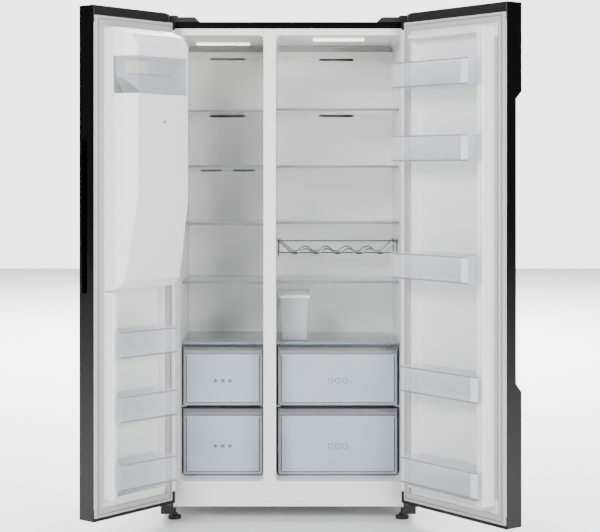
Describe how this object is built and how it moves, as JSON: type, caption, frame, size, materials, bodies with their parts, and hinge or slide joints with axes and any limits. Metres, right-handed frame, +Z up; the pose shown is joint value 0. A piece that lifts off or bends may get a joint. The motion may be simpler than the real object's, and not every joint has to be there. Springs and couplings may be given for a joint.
{
  "type": "side by side refrigerator",
  "caption": "Tall two-door refrigerator with a freezer side and a fridge side, glass shelves, drawers, door bins and an ice maker, shown with its doors open",
  "frame": {"origin": "on the floor, under the middle of the box that holds the refrigerator with both doors open", "axes": "+Z up, +X to the refrigerator's right side as seen from its front, +Y from the front to the back"},
  "size_m": [1.4556, 1.0546, 1.785],
  "materials": {
    "black_enamel": "satin black coating on pressed steel",
    "black_plastic": "moulded",
    "insulation": null,
    "white_liner": "vacuum-formed white polystyrene",
    "white_trim": "moulded",
    "white_steel": "white painted steel",
    "zinc_steel": "zinc plated pressed steel",
    "chromed_wire": "bright plated wire",
    "shelf_glass": "toughened glass",
    "clear_plastic": "clear polystyrene",
    "drawer_plastic": "tinted clear polystyrene",
    "silver_trim": "brushed and clear lacquered",
    "grey_gasket": "soft vinyl with a magnet strip",
    "dark_rubber": "moulded",
    "compressor_black": "black stoved paint",
    "fin_aluminium": "mill finish fins",
    "lamp_diffuser": "frosted"
  },
  "bodies": {
    "cabinet": {"cabinet_wrap": "black_enamel", "cabinet_foam": "insulation", "rear_panel": "zinc_steel", "freezer_liner": "white_liner", "fridge_liner": "white_liner", "divider_trim": "white_trim", "base_panel": "white_trim", "base_plate": "zinc_steel", "machine_cover": "zinc_steel", "cord_gland": "dark_rubber", "compressor": "compressor_black", "condenser": "compressor_black", "evaporator": "fin_aluminium", "freezer_air_panel": "white_liner", "fridge_air_panel": "white_liner", "freezer_lamp": "lamp_diffuser", "fridge_lamp": "lamp_diffuser", "freezer_shelves": "shelf_glass", "fridge_shelves": "shelf_glass", "shelf_trims": "clear_plastic", "wine_rack": "chromed_wire", "upper_hinges": "zinc_steel", "hinge_covers": "black_plastic", "lower_hinges": "compressor_black"},
    "left_door": {"left_door_panel": "black_enamel", "left_door_caps": "black_plastic", "left_door_foam": "insulation", "left_door_liner": "white_liner", "left_gasket": "grey_gasket", "ice_maker_housing": "white_liner", "dispenser_alcove": "black_plastic", "left_door_bins": "clear_plastic"},
    "right_door": {"right_door_panel": "black_enamel", "right_door_caps": "black_plastic", "right_door_foam": "insulation", "right_door_liner": "white_liner", "right_gasket": "grey_gasket", "right_edge_strip": "grey_gasket", "right_upper_bins": "clear_plastic", "right_lower_bins": "clear_plastic"},
    "water_tank": {"water_tank": "clear_plastic", "water_tank_lid": "white_trim"},
    "tank_flap": {"tank_flap": "white_trim"},
    "condenser_fan": {"condenser_fan": "black_plastic"},
    "evaporator_fan": {"evaporator_fan": "white_trim"},
    "front_foot_left": {"front_foot_left": "dark_rubber"},
    "front_foot_right": {"front_foot_right": "dark_rubber"},
    "rear_roller_left": {"rear_roller_left": "black_plastic"},
    "rear_roller_right": {"rear_roller_right": "black_plastic"},
    "ice_bucket": {"ice_bucket": "clear_plastic"},
    "dispenser_lever": {"dispenser_lever": "black_plastic"},
    "drip_tray": {"drip_tray": "black_plastic"},
    "freezer_upper_drawer": {"freezer_upper_drawer": "drawer_plastic", "freezer_upper_trim": "silver_trim"},
    "freezer_lower_drawer": {"freezer_lower_drawer": "drawer_plastic", "freezer_lower_trim": "silver_trim"},
    "fridge_upper_drawer": {"fridge_upper_drawer": "drawer_plastic", "fridge_upper_trim": "silver_trim"},
    "fridge_lower_drawer": {"fridge_lower_drawer": "drawer_plastic", "fridge_lower_trim": "silver_trim"}
  },
  "joints": [
    {"name": "left_door_hinge", "type": "hinge", "parent": "cabinet", "child": "left_door", "pos_m": [-0.46698, -0.08367, 0.9], "axis": [0, 0, -1], "range_deg": [-129, 0]},
    {"name": "right_door_hinge", "type": "hinge", "parent": "cabinet", "child": "right_door", "pos_m": [0.40102, -0.08367, 0.9], "axis": [0, 0, 1], "range_deg": [-127.5, 0]},
    {"name": "freezer_upper_drawer_slide", "type": "slide", "parent": "cabinet", "child": "freezer_upper_drawer", "axis": [0, -1, 0], "range_m": [0, 0.21]},
    {"name": "freezer_lower_drawer_slide", "type": "slide", "parent": "cabinet", "child": "freezer_lower_drawer", "axis": [0, -1, 0], "range_m": [0, 0.21]},
    {"name": "fridge_upper_drawer_slide", "type": "slide", "parent": "cabinet", "child": "fridge_upper_drawer", "axis": [0, -1, 0], "range_m": [0, 0.21]},
    {"name": "fridge_lower_drawer_slide", "type": "slide", "parent": "cabinet", "child": "fridge_lower_drawer", "axis": [0, -1, 0], "range_m": [0, 0.21]},
    {"name": "water_tank_slide", "type": "slide", "parent": "cabinet", "child": "water_tank", "axis": [0, -1, 0], "range_m": [0, 0.12]},
    {"name": "tank_flap_hinge", "type": "hinge", "parent": "water_tank", "child": "tank_flap", "pos_m": [-0.00999, 0.15173, 0.789], "axis": [-1, 0, 0], "range_deg": [0, 75]},
    {"name": "ice_bucket_slide", "type": "slide", "parent": "left_door", "child": "ice_bucket", "axis": [0.7771, -0.6293, 0], "range_m": [0, 0.12]},
    {"name": "drip_tray_slide", "type": "slide", "parent": "left_door", "child": "drip_tray", "axis": [-0.7771, 0.6293, 0], "range_m": [0, 0.08]},
    {"name": "dispenser_lever_hinge", "type": "hinge", "parent": "left_door", "child": "dispenser_lever", "pos_m": [-0.56979, -0.22175, 1.294], "axis": [-0.6293, -0.7771, 0], "range_deg": [0, 4], "stiffness_Nm_per_rad": 0.6, "springref_deg": -17.19},
    {"name": "condenser_fan_spin", "type": "hinge", "parent": "cabinet", "child": "condenser_fan", "pos_m": [-0.09298, 0.43933, 0.14], "axis": [1, 0, 0], "continuous": true},
    {"name": "evaporator_fan_spin", "type": "hinge", "parent": "cabinet", "child": "evaporator_fan", "pos_m": [-0.26898, 0.45533, 1.18], "axis": [0, -1, 0], "continuous": true},
    {"name": "front_foot_left_turn", "type": "hinge", "parent": "cabinet", "child": "front_foot_left", "pos_m": [-0.43799, 0.00733, 0.03], "axis": [0, 0, 1], "continuous": true},
    {"name": "rear_roller_left_roll", "type": "hinge", "parent": "cabinet", "child": "rear_roller_left", "pos_m": [-0.41798, 0.47133, 0.021], "axis": [1, 0, 0], "continuous": true},
    {"name": "front_foot_right_turn", "type": "hinge", "parent": "cabinet", "child": "front_foot_right", "pos_m": [0.37201, 0.00733, 0.03], "axis": [0, 0, 1], "continuous": true},
    {"name": "rear_roller_right_roll", "type": "hinge", "parent": "cabinet", "child": "rear_roller_right", "pos_m": [0.35202, 0.47133, 0.021], "axis": [1, 0, 0], "continuous": true}
  ]
}
